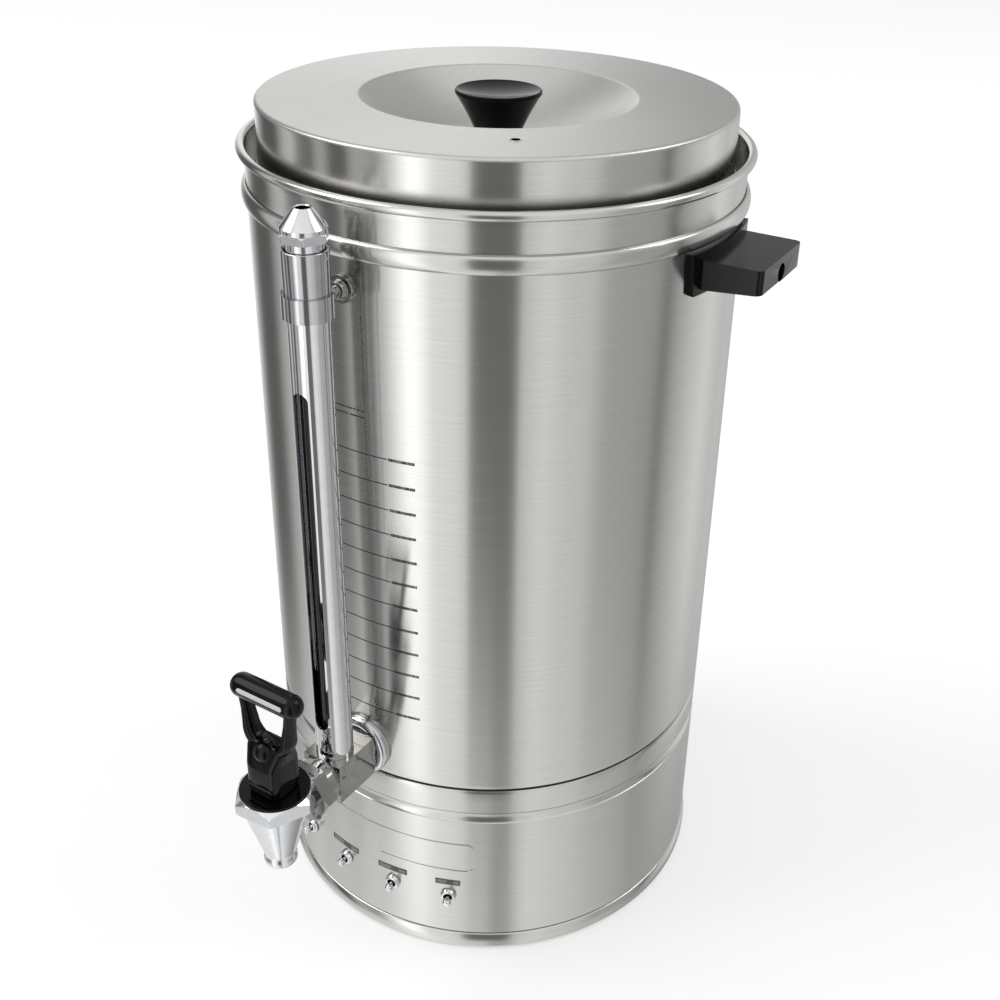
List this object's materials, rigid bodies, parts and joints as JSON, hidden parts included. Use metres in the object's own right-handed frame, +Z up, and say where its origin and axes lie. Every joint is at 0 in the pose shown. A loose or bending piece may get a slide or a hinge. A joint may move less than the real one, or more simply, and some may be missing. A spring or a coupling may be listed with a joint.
{
  "type": "coffee urn",
  "caption": "Tall steel drum urn on an electric base, with a lift-off dished lid, side grips, an upright sight gauge and a lever tap with a downward spout.",
  "frame": {"origin": "on the urn's upright axis at the floor it stands on", "axes": "+Z up along the urn's axis, -Y towards the tap, +X to the right grip seen from above with the tap at the bottom"},
  "size_m": [0.363, 0.407, 0.5485],
  "materials": {
    "brushed": "brushed round the body",
    "inner_steel": "satin",
    "wool": "loose fibre",
    "rubber": "matt",
    "aluminium": "cast",
    "element": "heat-darkened",
    "ivory": "moulded",
    "brass": "turned",
    "zinc": "zinc plated",
    "black_satin": "moulded, satin",
    "chrome": "polished",
    "glass": "clear",
    "seal": "soft, pale",
    "black_plastic": "moulded, glossy",
    "white": "moulded",
    "lid_steel": "brushed straight across"
  },
  "bodies": {
    "urn": {"outer_shell": "brushed", "inner_tank": "inner_steel", "tank_collar": "brushed", "tank_insulation": "wool", "seam_gasket": "rubber", "base_skirt": "brushed", "base_pan": "brushed", "feet": "rubber", "heater_plate": "aluminium", "heating_element": "element", "thermostat": "ivory", "thermal_cutout": "brass", "centre_stud": "zinc", "pan_nut": "zinc", "centre_pad": "rubber", "terminal_block": "ivory", "inlet_socket": "black_satin", "inlet_pins": "brass", "switch_bodies": "black_satin", "switch_nuts": "chrome", "tank_nipple": "brass", "tank_nut": "brass", "dress_ring": "chrome", "gauge_block": "chrome", "gauge_shield": "chrome", "gauge_glass": "glass", "glass_seals": "rubber", "gauge_sleeve": "chrome", "gauge_clamp": "chrome", "clamp_stud": "chrome", "tap_body": "chrome", "tap_spout": "chrome", "union_nut": "chrome", "union_seal": "seal", "tap_bonnet": "chrome", "tap_cap": "black_plastic", "tap_spring": "zinc", "grip_right": "black_satin", "saddle_right": "black_satin", "grip_left": "black_satin", "saddle_left": "black_satin", "grip_screws": "zinc", "grip_nuts": "zinc"},
    "lid": {"lid_cover": "lid_steel", "lid_pan": "inner_steel", "lid_core": "wool", "lid_gasket": "seal", "lid_knob": "black_plastic", "knob_screw": "zinc", "vent_tube": "zinc"},
    "stem": {"tap_stem": "zinc", "seat_cup": "seal"},
    "lever": {"tap_lever": "black_plastic", "lever_insert": "white", "lever_pin": "zinc"},
    "cap": {"gauge_cap": "chrome"},
    "switch_1": {"switch_lever_1": "chrome"},
    "switch_2": {"switch_lever_2": "chrome"},
    "switch_3": {"switch_lever_3": "chrome"},
    "switch_4": {"switch_lever_4": "chrome"}
  },
  "joints": [
    {"name": "lid_lift", "type": "slide", "parent": "urn", "child": "lid", "axis": [0, 0, 1], "range_m": [0, 0.12]},
    {"name": "stem_lift", "type": "slide", "parent": "urn", "child": "stem", "axis": [0, 0, 1], "range_m": [0, 0.0046], "stiffness_N_per_m": 1200, "deforming": ["tap_spring"]},
    {"name": "lever_pull", "type": "hinge", "parent": "stem", "child": "lever", "pos_m": [0, -0.231, 0.1938], "axis": [1, 0, 0], "range_deg": [0, 35]},
    {"name": "cap_lift", "type": "slide", "parent": "urn", "child": "cap", "axis": [0, 0, 1], "range_m": [0, 0.05]},
    {"name": "switch_1_flip", "type": "hinge", "parent": "urn", "child": "switch_1", "pos_m": [-0.05851, -0.1392, 0.0475], "axis": [-0.9219, 0.3875, 0], "range_deg": [0, 32]},
    {"name": "switch_2_flip", "type": "hinge", "parent": "urn", "child": "switch_2", "pos_m": [-0.01997, -0.14967, 0.0475], "axis": [-0.9912, 0.1323, 0], "range_deg": [0, 32]},
    {"name": "switch_3_flip", "type": "hinge", "parent": "urn", "child": "switch_3", "pos_m": [0.01997, -0.14967, 0.0475], "axis": [-0.9912, -0.1323, 0], "range_deg": [0, 32]},
    {"name": "switch_4_flip", "type": "hinge", "parent": "urn", "child": "switch_4", "pos_m": [0.05851, -0.1392, 0.0475], "axis": [-0.9219, -0.3875, 0], "range_deg": [0, 32]}
  ],
  "couplings": [
    {"joint": "lever_pull", "follows": "stem_lift", "rad_per_m": 132.8}
  ]
}
